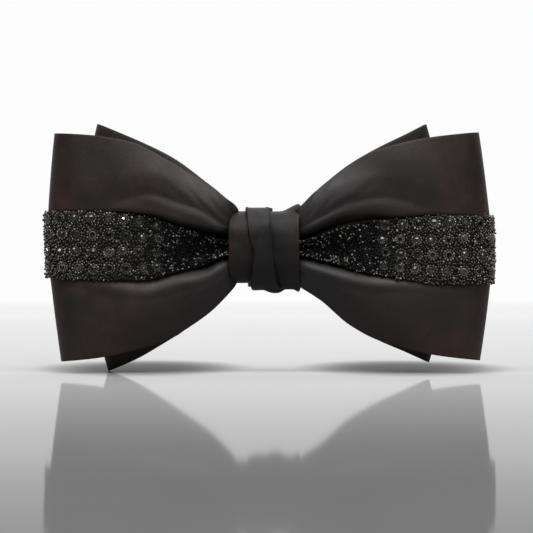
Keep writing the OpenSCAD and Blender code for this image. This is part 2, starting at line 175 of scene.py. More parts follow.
# Reach of each wing end: bottom corner, top corner, bulge between them
REACH = {"front": {LEFT: (53.5, 55.3, 2.5), RIGHT: (57.0, 56.7, 3.1)},
         "back": {LEFT: (41.6, 44.6, 6.0), RIGHT: (44.1, 43.4, 6.5)}}

# The valley beside the band: width of its shadowed floor and wall, by wing and by half (1 is upper)
VALLEY = {
    (LEFT, 1): line([[9.4, 2.6], [17.3, 1.9], [24.4, 1.6], [31.4, 1], [36, 0.6], [42, 0]]),
    (RIGHT, 1): line([[9.4, 1.8], [15, 3], [20, 3.3], [24.8, 2.8], [29.6, 2.1], [34, 1], [39, 0.6],
                      [46, 0]]),
    (LEFT, -1): line([[9.4, 2.2], [17, 2.6], [26.7, 2.8], [31.4, 2.6], [36, 1.6], [41, 0.6], [47, 0]]),
    (RIGHT, -1): line([[9.4, 2], [15.4, 1.5], [22.5, 1.4], [27.2, 1.2], [32, 0.7], [39, 0.3], [46, 0]])}
# The soft crease that runs beside the valley's lip, as a distance from the band
CREASE = {
    (LEFT, 1): line([[9.4, 3.2], [13, 4.8], [17.3, 5.9], [24, 6.3], [29, 6.1], [36, 3.9], [42, 0.4]]),
    (RIGHT, 1): line([[9.4, 3], [15.4, 4.6], [22.5, 5.8], [29.6, 5.9], [36, 4.8], [43.7, 1.6], [48, 0.3]]),
    (LEFT, -1): line([[9.4, 3.4], [12.6, 4.6], [22, 5.7], [33.8, 5.2], [44, 3.5], [50, 0.3]]),
    (RIGHT, -1): line([[9.4, 3.2], [17.7, 5.4], [27.2, 5], [36.6, 3.4], [43.7, 1.6], [49, 0.2]])}
# Along the wing: height of the valley's lip, of the shoulder past the crease, and drop at the edge
LIP = line([[0, 0], [6.4, 0], [9.4, 3.6], [13, 4.6], [18, 4.3], [24, 3.5], [30, 2.5], [36, 1.6], [42, 0.9],
            [50, 0.3], [58, 0]])
LIP_PEAK = 4.6
SHOULDER = line([[0, 0], [6.4, 0], [9.4, 0.7], [13, 1.1], [20, 1.1], [30, 0.7], [42, 0.2], [52, 0]])
FALL = line([[0, 0], [6.4, 0], [9.4, 1.7], [13, 3.4], [19, 4.0], [27, 3.1], [40, 1.2], [58, 0.1]])
LEAN_BACK = 1.5
WING_LENGTH = 58

uneven = {LEFT: wobble(11, 17.0), RIGHT: wobble(23, 17.0)}
pleat_noise = {LEFT: wobble(5, 9.0), RIGHT: wobble(8, 9.0)}


def lean(d):
    return -LEAN_BACK * (d / WING_LENGTH) ** 2


def edge_fall(d, s, extent):
    """How far a wing drops back towards its upper or lower edge."""
    return FALL(d) * np.clip((s / extent - 0.24) / 0.76, 0, 1) ** 1.8


def detail_relief(side, half, d, s, extent):
    """How far the front ply rises off the flat at s from the band, out to extent at the edge."""
    valley = VALLEY[side, half](d)
    crease = CREASE[side, half](d)
    past_floor = s - 0.3 * valley
    if half > 0:
        lip, groove_depth, shoulder = LIP(d), 0.3, 1.0
        rise = lip * ease(past_floor / (0.7 * valley + 0.7))
    else:
        lip, groove_depth, shoulder = 0.86 * LIP(d), 0.2, 0.25
        rise = lip * (1 - (1 - np.clip(past_floor / (0.7 * valley + 3.0), 0, 1)) ** 2.6)
    groove = groove_depth * np.clip(crease / 3, 0, 1) * (lip / LIP_PEAK) ** 0.5
    groove = groove * np.exp(-((s - crease) / 1.3) ** 2)
    body = shoulder * SHOULDER(d) * ease((s - crease) / 6.5)
    near_knot = (1 - ease((d - 12) / 22)) * ease((d - 7.5) / 2)
    angle = np.arctan2(s + 3, d - 3)
    pleats = np.sin(angle * 34 + 1.5 * pleat_noise[side](d, s) + half) * ease((s - crease) / 2)
    soft = uneven[side](d, half * (s + 9)) * ease((s - 1) / 5) * ease((d - 8) / 6)
    return rise - groove + body - edge_fall(d, s, extent) + 0.09 * near_knot * pleats + 0.16 * soft


def broad_relief(side, half, d, s, extent):
    """The smoother rise that every layer behind the front ply follows."""
    swell = 0.5 * (LIP(d) + 0.6 * SHOULDER(d)) * ease((s - VALLEY[side, half](d)) / 7)
    return swell - 0.4 * edge_fall(d, s, extent)


def puff(layer, d):
    return PUFF[layer] * ease((d - 13) / 34)


def middle(layer, d):
    if layer == "front":
        return FRONT_MID + 0 * d
    return BACK_MID + 0.3 * ease((d - 12) / 10) + puff("front", d) + puff("back", d)


def reach(ends, t):
    return ends[0] + (ends[1] - ends[0]) * t + 4 * ends[2] * t * (1 - t)


def straight(layer, side, t=0.5):
    """Length of a wing's straight part, at a share of its height."""
    return reach(REACH[layer][side], t) - ROUND[layer] - 1.5


def band_rows(across):
    """Rows across the band alone, from -1 at its bottom edge to 1 at its top."""
    low, high = BAND_SHARE
    return np.zeros(len(across)), across, low + (high - low) / 2 * (across + 1)


def sheet_rows(outer, inner):
    """Rows from the bottom edge to the top: which part (-1, 0, 1), share of it, share of the height."""
    low, high = BAND_SHARE
    fine = np.linspace(0, 1, outer + 1)[1:]
    part, share, height = band_rows(np.linspace(-1, 1, inner + 1))
    part = np.concatenate([-np.ones(outer), part, np.ones(outer)])
    share = np.concatenate([fine[::-1], share, fine])
    height = np.concatenate([low * (1 - fine[::-1]), height, high + (1 - high) * fine])
    return part, share, height


def loop_places(layer, columns, rows, offset, detailed, lift=None):
    """Points of a layer: columns are (side, run, turn round the wing end), rows as sheet_rows says."""
    columns = np.array(columns, float)
    part, share, height = rows
    places = np.zeros((len(columns), len(part), 3))
    for side in (LEFT, RIGHT):
        pick = columns[:, 0] == side
        base = columns[pick, 1][:, None]
        turn = np.radians(columns[pick, 2])[:, None]
        even = straight(layer, side)
        run = base + (straight(layer, side, height) - even) * (base / even) ** 3
        d = run + (ROUND[layer] + offset) * np.sin(turn)
        low = OUTLINE[layer][0][side](d)
        high = OUTLINE[layer][1][side](d)
        b0 = BAND_BOTTOM[side](d)
        b1 = BAND_TOP[side](d)
        out = np.sign(share) * np.abs(share) ** 1.35
        z = np.where(part < 0, b0 + (low - b0) * out,
                     np.where(part > 0, b1 + (high - b1) * out, b0 + (b1 - b0) * (share + 1) / 2))
        front = 0 * d
        behind = 0 * d
        for half in (-1, 1):
            extent = high - b1 if half > 0 else b0 - low
            s = extent * out
            far = broad_relief(side, half, d, s, extent)
            near = detail_relief(side, half, d, s, extent) if detailed else far
            front = np.where(part == half, near, front)
            behind = np.where(part == half, far, behind)
        facing = (1 + np.cos(turn)) / 2
        forward = front * facing + behind * (1 - facing) + lean(d)
        if lift is not None:
            forward = forward + lift(side, d, share) * facing ** 4
        places[pick, :, 0] = KNOT_X + side * d
        places[pick, :, 1] = (SHIFT_Y + middle(layer, run) - forward
                              - (offset + puff(layer, run)) * np.cos(turn))
        places[pick, :, 2] = z
    return places


def run_steps(layer, side, fine, start=0.0):
    """Distances out along a ply, closer together beside the knot."""
    end = straight(layer, side)
    steps = [start]
    while steps[-1] < end - 0.4 * fine:
        steps.append(steps[-1] + fine * (0.55 if steps[-1] < 14 else 0.8 if steps[-1] < 32 else 1.2))
    steps = np.array(steps)
    return start + (steps - start) * (end - start) / (steps[-1] - start)


def face(layer, side, step, start=0.0, turn=0):
    """Columns out along a wing's front, or with a turn of 180 along its back."""
    return [(side, run, turn) for run in run_steps(layer, side, step, start)]


def nose(layer, side, turns):
    """Columns round a wing's end, from its front to its back."""
    return [(side, straight(layer, side), turn) for turn in np.linspace(0, 180, turns + 1)[1:-1]]


def both_wings(walk):
    """Columns along both wings' walks, which start at the knot: the left one backwards, then the right."""
    return walk(LEFT)[::-1] + walk(RIGHT)[1:]


def loop_columns(layer, fine, coarse, turns, gap=0.4):
    """Once round a folded loop, with its two ends at the waist behind."""
    return both_wings(lambda side: face(layer, side, fine) + nose(layer, side, turns)
                      + face(layer, side, coarse, gap, 180)[::-1])


def lining_columns(layer, step=2.0, inset=1.5):
    return both_wings(lambda side: [column for column in face(layer, side, step)
                                    if column[1] < straight(layer, side) - inset])


def band_columns(step):
    tails = np.linspace(0, BAND_RETURN, 7)
    return both_wings(lambda side: face("front", side, step) + nose("front", side, 16)
                      + [(side, straight("front", side) - t, 180) for t in tails])


def hex_colour(code):
    """Linear RGBA of an sRGB hex value."""
    values = [int(code[i:i + 2], 16) / 255 for i in (1, 3, 5)]
    return [v / 12.92 if v <= 0.04045 else ((v + 0.055) / 1.055) ** 2.4 for v in values] + [1.0]


def add(tree, kind, inputs=None, **settings):
    """Adds a shader node; an input that is another node's output is linked, any other is set."""
    made = tree.nodes.new("ShaderNode" + kind)
    for key, value in settings.items():
        setattr(made, key, value)
    for key, value in (inputs or {}).items():
        if isinstance(value, bpy.types.NodeSocket):
            tree.links.new(value, made.inputs[key])
        else:
            made.inputs[key].default_value = value
    return made


def material(name):
    made = bpy.data.materials.new(name)
    made.use_nodes = True
    made.node_tree.nodes.clear()
    return made, made.node_tree


def surface(tree, inputs):
    shader = add(tree, "BsdfPrincipled", inputs)
    add(tree, "OutputMaterial", {"Surface": shader.outputs[0]})


def ramp(tree, factor, stops):
    made = add(tree, "ValToRGB", {0: factor})
    band = made.color_ramp
    while len(band.elements) < len(stops):
        band.elements.new(0.5)
    for element, (place, colour) in zip(band.elements, stops):
        element.position = place
        element.color = hex_colour(colour) if isinstance(colour, str) else [colour] * 3 + [1]
    return made.outputs[0]


def object_place(tree):
    return add(tree, "TexCoord").outputs["Object"]


def noise(tree, place, scale, detail, distortion=0.0):
    return add(tree, "TexNoise", {"Vector": place, "Scale": scale, "Detail": detail,
                                  "Distortion": distortion}).outputs[0]


def maths(tree, operation, *values):
    return add(tree, "Math", dict(enumerate(values)), operation=operation).outputs[0]


def remap(tree, value, source, target, interpolation="LINEAR"):
    """A value moved from one range to another, and held at its ends."""
    limits = {"From Min": source[0], "From Max": source[1], "To Min": target[0], "To Max": target[1]}
    return add(tree, "MapRange", {"Value": value, **limits}, interpolation_type=interpolation).outputs[0]


def bumps(tree, height, strength, distance):
    return add(tree, "Bump", {"Height": height, "Strength": strength, "Distance": distance}).outputs[0]


# The part of a noise's range that carries nearly all of its values
NOISE_SPAN = (0.3, 0.7)
# The cooler, darker black mixed into the leather towards the knot's middle
NEAR_KNOT_BLACK = "#141312"


def leather(name, dyes, gloss, shine, dyed_from):
    """Waxed nappa: close grain of 0.5 mm, satin, slightly mottled, and a cooler black near the knot."""
    made, tree = material(name)
    place = object_place(tree)
    cells = add(tree, "TexVoronoi", {"Vector": place, "Scale": 1900.0}, feature="F1")
    fine = noise(tree, place, 2600.0, 3.0)
    cloud = noise(tree, place, 62.0, 2.0)
    patch = noise(tree, place, 230.0, 4.0)
    tone = add(tree, "Mix", {"Factor": 0.35, "A": cloud, "B": patch}).outputs[0]
    dyed = ramp(tree, tone, list(zip((0.36, 0.5, 0.64), dyes)))
    out = add(tree, "SeparateXYZ", {0: place}).outputs["X"]
    share = remap(tree, maths(tree, "ABSOLUTE", out), dyed_from, (0, 1))
    colour = add(tree, "Mix", {"Factor": share, "A": hex_colour(NEAR_KNOT_BLACK), "B": dyed},
                 data_type="RGBA").outputs["Result"]
    rough = remap(tree, patch, NOISE_SPAN, (gloss - 0.05, gloss + 0.06))
    grain = maths(tree, "ADD", cells.outputs["Distance"], fine)
    surface(tree, {"Base Color": colour, "Roughness": rough, "IOR": 1.5, "Specular IOR Level": shine,
                   "Coat Weight": 0.04, "Coat Roughness": 0.4, "Normal": bumps(tree, grain, 0.35, 0.00006)})
    return made


def fibre(name, dark, light, scale, rough):
    """Pressed felt, wadding or waxed thread: fibres and flecks with no shine of their own."""
    made, tree = material(name)
    hairs = noise(tree, object_place(tree), scale, 5.0, 1.2)
    surface(tree, {"Base Color": ramp(tree, hairs, [(0.35, dark), (0.65, light)]), "Roughness": rough,
                   "Sheen Weight": 0.15, "Normal": bumps(tree, hairs, 0.6, 0.0002)})
    return made


def woven_tape(name):
    """Black grosgrain: ribs 0.5 mm apart across a matt polyester tape."""
    made, tree = material(name)
    place = add(tree, "UVMap").outputs[0]
    ribs = add(tree, "TexWave", {"Vector": place, "Scale": 0.63, "Distortion": 0.3},
               bands_direction="X").outputs[0]
    colour = ramp(tree, noise(tree, place, 2.2, 3.0), [(0.3, "#0b0b0b"), (0.7, "#1a1919")])
    surface(tree, {"Base Color": colour, "Roughness": 0.85, "Normal": bumps(tree, ribs, 0.6, 0.0001)})
    return made


def bead_glass(name, stops, rough, facet):
    """Pressed glass with a dark lining: the higher a bead's tint, the paler and shinier it is; the tints carry
    painted shade and painted glints.
    """
    made, tree = material(name)
    tint = add(tree, "Attribute", attribute_name="tint").outputs["Fac"]
    film = noise(tree, object_place(tree), 1500.0, 2.0)
    surface(tree, {"Base Color": ramp(tree, tint, stops), "IOR": 1.6,
                   "Roughness": remap(tree, film, NOISE_SPAN, (rough, rough + 0.15)),
                   "Specular IOR Level": remap(tree, tint, (0, 1), (0.08, 0.9)),
                   "Coat Weight": remap(tree, tint, (0, 1), (0.02, 0.8)), "Coat Roughness": 0.08,
                   "Normal": bumps(tree, film, facet, 0.00005)})
    return made


def steel(name, light, dark, rough, stretch):
    """Nickel-plated spring steel, brushed one way: fine streaks and a soft, broken reflection."""
    made, tree = material(name)
    place = object_place(tree)
    stretched = add(tree, "Mapping", {"Vector": place, "Scale": stretch}).outputs[0]
    streak = noise(tree, stretched, 1.0, 4.0)
    smear = noise(tree, place, 240.0, 3.0)
    surface(tree, {"Base Color": ramp(tree, streak, [(0.3, dark), (0.7, light)]), "Metallic": 1.0,
                   "Roughness": remap(tree, smear, NOISE_SPAN, (rough - 0.06, rough + 0.1)),
                   "Normal": bumps(tree, streak, 0.12, 0.00003)})
    return made


bow_leather = leather("nappa_leather_tumbled", ("#170f0c", "#221511", "#321d17"), 0.57, 0.5, (0.006, 0.046))
knot_leather = leather("nappa_leather_folded", ("#140f0d", "#1b120f", "#2a1813"), 0.66, 0.34, (0.002, 0.012))
lining_felt = fibre("pressed_felt_interlining", "#4b463d", "#6d675b", 1400.0, 0.95)
wadding = fibre("polyester_wadding", "#b9b4a8", "#dcd8ce", 900.0, 0.98)
waxed_thread = fibre("waxed_polyester_thread", "#0e0e0e", "#242322", 2500.0, 0.55)
grosgrain = woven_tape("grosgrain_tape")
seed_glass = bead_glass("pressed_glass_seed_beads", [(0.0, "#030303"), (0.35, "#191613"), (0.7, "#4b453e"),
                                                     (1.0, "#a19c94")], 0.27, 0.25)
stone_glass = bead_glass("faceted_glass_stones", [(0.0, "#08080a"), (0.6, "#17171b"), (1.0, "#3a3a40")],
                         0.05, 0.1)
BRUSHED = (60.0, 900.0, 3000.0)
plate_steel = steel("brushed_nickel_plate", "#b2b4b6", "#a3a5a7", 0.3, BRUSHED)
lever_steel = steel("brushed_nickel_lever", "#b5b7b9", "#a6a8aa", 0.28, BRUSHED)
pin_steel = steel("turned_steel_pin", "#c4c6c8", "#9a9c9e", 0.22, (900.0, 900.0, 3500.0))
spring_steel = steel("drawn_spring_wire", "#a9abae", "#7f8184", 0.25, (1500.0, 1500.0, 1500.0))


def placed(name, data):
    made = bpy.data.objects.new(name, data)
    scene.collection.objects.link(made)
    return made


def paint(mesh, finish):
    mesh.materials.clear()
    mesh.materials.append(finish)


def keep(bm, name, finish, smooth=True):
    mesh = bpy.data.meshes.new(name)
    bm.to_mesh(mesh)
    bm.free()
    if smooth:
        mesh.shade_smooth()
    paint(mesh, finish)
    return placed(name, mesh)


def sheet_mesh(name, places, finish, closed=False):
    """A sheet over a grid of points in mm, with its own measures in mm as its UV map."""
    columns, rows = places.shape[:2]
    along = np.zeros((columns, rows))
    along[1:] = np.cumsum(np.linalg.norm(np.diff(places, axis=0), axis=2), axis=0)
    across = np.zeros((columns, rows))
    across[:, 1:] = np.cumsum(np.linalg.norm(np.diff(places, axis=1), axis=2), axis=1)
    bm = bmesh.new()
    flat = bm.loops.layers.uv.new("UVMap")
    bmesh.ops.create_grid(bm, x_segments=columns - 1, y_segments=rows - 1, size=1)
    where = {}
    for v in bm.verts:
        where[v] = (round((v.co.x + 1) / 2 * (columns - 1)), round((v.co.y + 1) / 2 * (rows - 1)))
    for face in bm.faces:
        for corner in face.loops:
            i, j = where[corner.vert]
            corner[flat].uv = (along[i, rows // 2], across[i, j])
    for v, (i, j) in where.items():
        v.co = places[i, j] * MM
    if closed:
        seam = [v for v, (i, j) in where.items() if i in (0, columns - 1)]
        bmesh.ops.remove_doubles(bm, verts=seam, dist=1e-6)
    bmesh.ops.recalc_face_normals(bm, faces=bm.faces)
    return keep(bm, name, finish)


def settle(piece, nodes):
    """A new piece rides with the bow and stands for its CAD nodes."""
    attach(piece, "bow")
    if nodes:
        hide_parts(*nodes)
    return piece


def sheet_piece(name, places, finish, thickness, nodes, rim=0.18, closed=False):
    """A sheet with its wall, and softly rounded cut edges where it has a rim."""
    piece = sheet_mesh(name, places, finish, closed)
    wall = piece.modifiers.new("wall", "SOLIDIFY")
    wall.thickness = thickness * MM
    wall.offset = 0
    wall.use_even_offset = False
    if rim:
        edge = piece.modifiers.new("cut_edge", "BEVEL")
        edge.width = rim * MM
        edge.segments = 2
        edge.limit_method = "ANGLE"
        edge.angle_limit = math.radians(60)
    return settle(piece, nodes)


def lining_rows(trim=0.985):
    part, share, height = sheet_rows(16, 4)
    return part, np.where(part == 0, share, share * trim), height


# The two folded leather bows and the felt in each
front_leather = sheet_piece(
    "front_bow_leather",
    loop_places("front", loop_columns("front", 1.0, 2.0, 14), sheet_rows(44, 8), PLY_MID, True),
    bow_leather, PLY, ["front_bow"])
back_leather = sheet_piece(
    "back_bow_leather",
    loop_places("back", loop_columns("back", 1.6, 2.0, 14), sheet_rows(30, 6), PLY_MID, False),
    bow_leather, PLY, ["back_bow"])
for layer in ("front", "back"):
    sheet_piece(layer + "_lining_felt",
                loop_places(layer, lining_columns(layer), lining_rows(), 0.0, False),
                lining_felt, LINING_T, [layer + "_interlining"], rim=0)


# The beaded band: gathered to a narrow trough beside the knot, flat past the valley
GATHER = line([[0, 0.5], [7, 0.9], [9.4, 1.9], [14, 1.7], [20, 1.1], [28, 0.45], [38, 0.1], [50, 0]])
tape_wave = wobble(41, 6.0)


def band_lift(side, d, across):
    wave = 0.12 * tape_wave(d, across * 6 + side * 9) * ease((30 - d) / 14)
    return GATHER(d) * np.abs(across) ** 1.6 + wave


tape = sheet_piece(
    "beaded_band_tape",
    loop_places("front", band_columns(1.0), band_rows(np.linspace(-1, 1, 15)), TAPE_MID, True, band_lift),
    grosgrain, TAPE_T, ["trim_tape"], rim=0)


def unit(vectors):
    return vectors / (np.linalg.norm(vectors, axis=-1)[..., None] + 1e-12)


class Band:
    """The bead side of one wing's band, measured from the knot's middle along it."""

    def __init__(self, side):
        step = 0.4
        run = straight("front", side)
        front = [(side, r, 0) for r in np.arange(0, run, step)]
        end = [(side, run, a) for a in np.linspace(0, 180, 40)]
        tail = [(side, run - r, 180) for r in np.arange(step, BAND_RETURN + 0.1, step)]
        columns = front + end + tail
        self.across = np.linspace(-1, 1, 41)
        rows = band_rows(self.across)
        self.grid = loop_places("front", columns, rows, BEAD_SEAT, True, band_lift)
        raised = loop_places("front", columns, rows, BEAD_SEAT + 0.3, True, band_lift)
        middle_line = self.grid[:, len(self.across) // 2]
        self.length = np.concatenate([[0], np.cumsum(np.linalg.norm(np.diff(middle_line, axis=0), axis=1))])
        self.width = np.linalg.norm(np.diff(self.grid, axis=1), axis=2).sum(axis=1)
        along = np.gradient(self.grid, axis=0)
        normal = unit(np.cross(along, np.gradient(self.grid, axis=1)))
        flip = np.sign((normal * (raised - self.grid)).sum(axis=2))[..., None]
        self.normal = normal * np.where(flip == 0, 1, flip)
        self.along = unit(along)

    def span(self, a):
        return np.interp(a, self.length, self.width)

    def at(self, a, across):
        """Point, outward direction and direction along the band, at a mm along and -1 to 1 across."""
        i = np.interp(a, self.length, np.arange(len(self.length)))
        j = (np.clip(across, -1, 1) + 1) / 2 * (len(self.across) - 1)
        i0 = int(min(i, len(self.length) - 2))
        j0 = int(min(j, len(self.across) - 2))
        fi, fj = i - i0, j - j0
        out = []
        for field in (self.grid, self.normal, self.along):
            out.append((field[i0, j0] * (1 - fi) + field[i0 + 1, j0] * fi) * (1 - fj)
                       + (field[i0, j0 + 1] * (1 - fi) + field[i0 + 1, j0 + 1] * fi) * fj)
        over = (abs(across) - 1) * self.span(a) / 2
        if over > 0:
            step = self.grid[i0, -1 if across > 0 else 0] - self.grid[i0, -2 if across > 0 else 1]
            out[0] = out[0] + unit(step) * over
        return out


def stand(point, outward, along, size, sink=0.0):
    """A matrix that stands a template at a point of the band, in metres."""
    up = Vector(outward).normalized()
    side = Vector(along)
    side = (side - up * side.dot(up)).normalized()
    turn = Matrix((side, up.cross(side), up)).transposed().to_4x4()
    return Matrix.Translation(Vector(point - np.array(up) * sink) * MM) @ turn @ Matrix.Scale(size * MM, 4)


def template(make):
    """A small mesh of unit size to be stamped many times, carrying a tint for each copy."""
    bm = bmesh.new()
    bm.verts.layers.float.new("tint")
    make(bm)
    mesh = bpy.data.meshes.new("stamp")
    bm.to_mesh(mesh)
    bm.free()
    return mesh


def stamp(stamps):
    """One bmesh of many copies: stamps are (template mesh, matrix, tint)."""
    bm = bmesh.new()
    bm.verts.layers.float.new("tint")
    for mesh, matrix, tint in stamps:
        start = len(bm.verts)
        bm.from_mesh(mesh)
        bm.verts.ensure_lookup_table()
        layer = bm.verts.layers.float["tint"]
        for v in bm.verts[start:]:
            v.co = matrix @ v.co
            v[layer] = tint
    return bm


def make_bead(bm):
    """A seed bead seen from its side: a squat ball with its thread side cut away."""
    bmesh.ops.create_uvsphere(bm, u_segments=7, v_segments=6, radius=1)
    under = [v for v in bm.verts if v.co.z < -0.6]
    bmesh.ops.delete(bm, geom=under, context="VERTS")
    edges = [e for e in bm.edges if e.is_boundary]
    bmesh.ops.edgeloop_fill(bm, edges=edges)


def make_stone(bm):
    """A flat-table stone with eight crown facets on a straight girdle."""
    bmesh.ops.create_cone(bm, cap_ends=True, segments=8, radius1=1, radius2=1, depth=0.5,
                          matrix=Matrix.Translation((0, 0, 0.25)))
    top = [f for f in bm.faces if f.normal.z > 0.9]
    bmesh.ops.inset_region(bm, faces=top, thickness=0.42, depth=0.34, use_even_offset=True)


def make_cup(bm):
    """The turned rim of the stone's cup."""
    upright = Matrix.Rotation(math.pi / 2, 4, "X")
    bmesh.ops.create_circle(bm, segments=5, radius=0.2, matrix=Matrix.Translation((1.18, 0, 0.34)) @ upright)
    bmesh.ops.spin(bm, geom=bm.verts[:] + bm.edges[:], cent=(0, 0, 0), axis=(0, 0, 1), dvec=(0, 0, 0),
                   angle=math.tau, steps=12, use_merge=True)
    bmesh.ops.recalc_face_normals(bm, faces=bm.faces)


bead_stamp = template(make_bead)
stone_stamp = template(make_stone)
cup_stamp = template(make_cup)

ROSETTE_R = 1.72
ROSETTE_PITCH = 4.2
ROSETTE_COLUMNS = 10
ROSETTE_ROWS = {LEFT: (-0.67, -0.165, 0.345, 0.81), RIGHT: (-0.655, -0.16, 0.31, 0.80)}
# The distance along the band of the column nearest its end, and the band's width that suits full rosettes
OUTER_COLUMN = {LEFT: 65.7, RIGHT: 69.2}
FULL_WIDTH = 17.2
RING_BEADS = 12
RING_BEAD_R = 0.33
STONE_R = 0.72
FIRST_BEAD = 8.6
BEAD_TRIES = 26000
LOOSE_BEADS = 170


def shade_of(rng, mean, spread):
    """A random tint from 0, black, to 1, bright."""
    return float(np.clip(rng.normal(mean, spread), 0, 1))


def rosette_seats(band, side, rng):
    """Each rosette's distance along the band, share across it, and radius."""
    seats = []
    for column in range(ROSETTE_COLUMNS):
        for row, across in enumerate(ROSETTE_ROWS[side]):
            a = OUTER_COLUMN[side] - column * ROSETTE_PITCH + rng.uniform(-0.35, 0.35) + 0.5 * (row % 2)
            size = min(1.0, band.span(a) / FULL_WIDTH) * rng.uniform(0.93, 1.08)
            seats.append((a, across + rng.uniform(-0.03, 0.03), ROSETTE_R * size))
    return seats


def rosette_stamps(band, seats, rng):
    """The rings, each a cup and a circle of beads, and the stones, each tilted a little its own way."""
    rings = []
    stones = []
    for a, across, radius in seats:
        point, outward, along = band.at(a, across)
        size = STONE_R * radius / ROSETTE_R
        shade = rng.uniform(0, 1)
        stones.append((stone_stamp, stand(point, outward + rng.normal(0, 0.26, 3), along, size), shade))
        rings.append((cup_stamp, stand(point, outward, along, size), rng.uniform(0.45, 0.85)))
        up = Vector(outward).normalized()
        across_way = up.cross(Vector(along)).normalized()
        along_way = across_way.cross(up)
        phase = rng.uniform(0, math.tau)
        for k in range(RING_BEADS):
            angle = phase + math.tau * k / RING_BEADS
            spoke = along_way * math.cos(angle) + across_way * math.sin(angle)
            seat = np.array(Vector(point) + spoke * (radius - RING_BEAD_R))
            # Ring beads are tinted darker towards the knot: painted shade of the trough
            rings.append((bead_stamp, stand(seat, outward, along, rng.uniform(0.3, 0.36), -0.14),
                          shade_of(rng, 0.32 + 0.3 * ease((a - 22) / 20), 0.17)))
    return rings, stones


def scattered(band, seats, rng):
    """Beads strewn one by one wherever none lies yet: distance along, distance across, radius."""
    centres = np.array([(a, across * band.span(a) / 2, radius) for a, across, radius in seats])
    taken = np.zeros((0, 3))
    for _ in range(BEAD_TRIES):
        a = rng.uniform(FIRST_BEAD, band.length[-1] - 0.3)
        half = band.span(a) / 2
        over = rng.uniform(-half - 0.2, half + 0.2)
        r = rng.uniform(0.24, 0.39)
        apart = (taken[:, 0] - a) ** 2 + (taken[:, 1] - over) ** 2
        clear = (centres[:, 0] - a) ** 2 + (centres[:, 1] - over) ** 2
        if (np.any(apart < (0.86 * (taken[:, 2] + r)) ** 2)
                or np.any(clear < (centres[:, 2] + 0.75 * r + 0.06) ** 2)):
            continue
        taken = np.vstack([taken, (a, over, r)])
    return taken


def seed_stamps(band, taken, rng):
    """The sewn beads, tinted dark in the trough as painted shade but for a few bright ones, and loose beads
    that stand on them.
    """
    beads = []
    for a, over, r in taken:
        across = over / (band.span(a) / 2)
        point, outward, along = band.at(a, across)
        tilt = outward + rng.normal(0, 0.22, 3)
        clear_of_painted_shade = ease((a - 20) / 26)
        # The tint's mean darkens towards the knot as painted shade of the trough
        mean = 0.02 + 0.46 * clear_of_painted_shade + 0.1 * ease((a - 46) / 14)
        shade = shade_of(rng, mean, 0.05 + 0.07 * clear_of_painted_shade)
        # Bright beads, more of them near the knot and at the trough's edges, are partly pale beads and partly
        # painted glints
        if rng.uniform() < 0.03 + 0.11 * (1 - clear_of_painted_shade) + 0.3 * (1 - clear_of_painted_shade) * across ** 2:
            shade = rng.uniform(0.7, 1)
            r *= 0.8
        beads.append((bead_stamp, stand(point, tilt, along, r, -0.45 * r - rng.uniform(0, 0.14)), shade))
    for _ in range(LOOSE_BEADS):
        a, over, r = taken[rng.integers(len(taken))]
        point, outward, along = band.at(a, over / (band.span(a) / 2) + rng.uniform(-0.03, 0.03))
        tilt = outward + rng.normal(0, 0.3, 3)
        # Loose beads too are tinted darker towards the knot as painted shade
        beads.append((bead_stamp, stand(point, tilt, along, rng.uniform(0.24, 0.34), -0.62),
                      shade_of(rng, 0.2 + 0.3 * ease((a - 20) / 20), 0.3)))
    return beads


for side, word in ((LEFT, "left"), (RIGHT, "right")):
    band = Band(side)
    rng = np.random.default_rng(300 + side)
    seats = rosette_seats(band, side, rng)
    rings, stones = rosette_stamps(band, seats, rng)
    beads = seed_stamps(band, scattered(band, seats, rng), rng)
    for stamps, name, finish, node, slot in (
            (beads, "seed_bead_field_", seed_glass, "seed_beads_", "seed_beads"),
            (rings, "rosette_bead_rings_", seed_glass, "rosette_rings_", "seed_beads"),
            (stones, "rosette_faceted_stones_", stone_glass, "rosette_stones_", "stones")):
        piece = keep(stamp(stamps), name + word, finish, smooth=stamps is not stones)
        settle(piece, [node + word])


